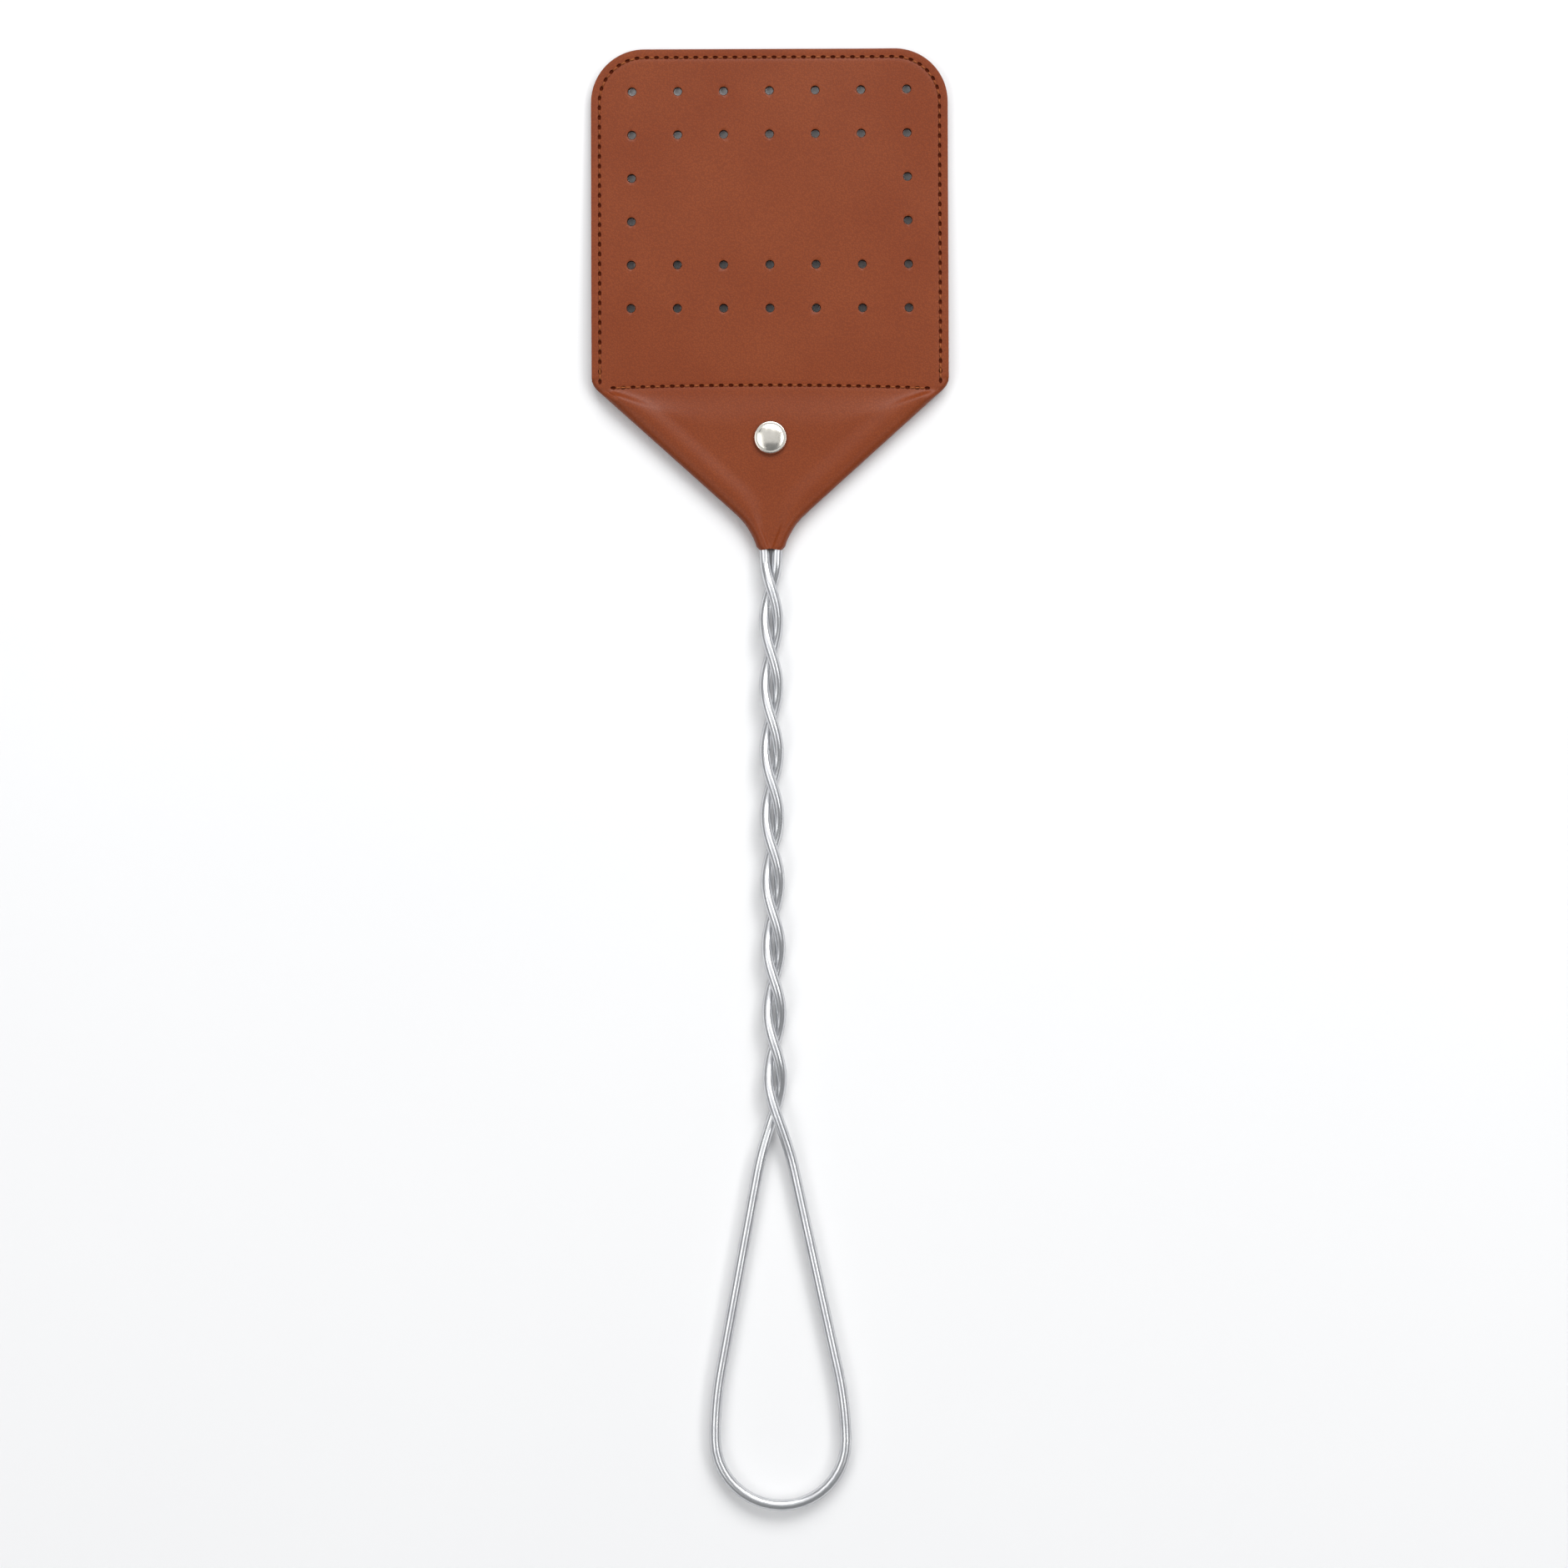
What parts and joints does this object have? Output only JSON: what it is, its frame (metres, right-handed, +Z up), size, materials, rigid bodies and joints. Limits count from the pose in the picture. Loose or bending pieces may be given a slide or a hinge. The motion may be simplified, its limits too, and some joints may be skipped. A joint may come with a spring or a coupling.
{
  "type": "fly swatter",
  "caption": "Perforated tan leather paddle, stitched and riveted over the V-shaped yoke of a handle of twisted steel wire that ends in a teardrop hanging loop.",
  "frame": {"origin": "under the middle of the whole length, on the table that the swatter lies on", "axes": "+X across the paddle to its right, +Y along the handle towards the paddle's top edge, +Z up, out of the paddle's front"},
  "size_m": [0.107, 0.4384, 0.0077],
  "materials": {
    "tan_leather": "smooth, semi-matt, fine grain",
    "tan_leather_back": "smooth, semi-matt, fine grain",
    "galvanised_wire": "bright galvanised, drawn",
    "nickel_plate": "polished nickel, lightly hazed",
    "brown_thread": "waxed polyester thread"
  },
  "bodies": {
    "handle": {"handle_wire": "galvanised_wire", "yoke_leather": "tan_leather", "back_leather_strip": "tan_leather_back", "rivet_cap": "nickel_plate", "rivet_stud": "nickel_plate", "edge_seam_end_needle_thread": "brown_thread", "edge_seam_end_bobbin_thread": "brown_thread", "cross_seam_needle_thread": "brown_thread", "cross_seam_bobbin_thread": "brown_thread"},
    "paddle": {"front_leather": "tan_leather", "back_leather": "tan_leather_back", "edge_seam_needle_thread": "brown_thread", "edge_seam_bobbin_thread": "brown_thread"}
  },
  "joints": [
    {"name": "paddle_flex", "type": "hinge", "parent": "handle", "child": "paddle", "pos_m": [0, 0.12323, 0.0036], "axis": [1, 0, 0], "range_deg": [-35, 35], "stiffness_Nm_per_rad": 0.3}
  ]
}
